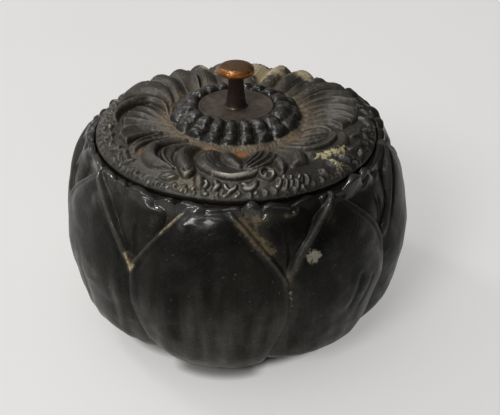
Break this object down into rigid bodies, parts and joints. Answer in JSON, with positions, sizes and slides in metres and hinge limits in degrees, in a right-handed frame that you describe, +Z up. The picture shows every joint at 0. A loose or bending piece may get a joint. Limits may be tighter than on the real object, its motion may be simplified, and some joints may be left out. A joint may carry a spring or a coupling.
{
  "type": "trinket box",
  "caption": "Round lidded box with a carved petal body, an embossed lift-off lid and a small turned knob, for trinkets.",
  "frame": {"origin": "middle of the foot, on the surface that the box stands on", "axes": "+Z up through the knob, -Y towards the front petal's side of the picture, +X to the right"},
  "size_m": [0.1164, 0.1166, 0.087],
  "materials": {
    "vessel": "ebonised, waxed and worn",
    "lid": "embossed, dark patina",
    "plate": "dark brown patina",
    "knob": "worn copper-coloured",
    "fastener": "dull"
  },
  "bodies": {
    "vessel": {"vessel_body": "vessel"},
    "lid": {"lid": "lid", "lid_collar": "lid", "knob_plate": "plate", "knob": "knob", "knob_washer": "fastener", "knob_nut": "fastener"}
  },
  "joints": [
    {"name": "lid_lift", "type": "slide", "parent": "vessel", "child": "lid", "axis": [0, 0, 1], "range_m": [0, 0.06]}
  ]
}
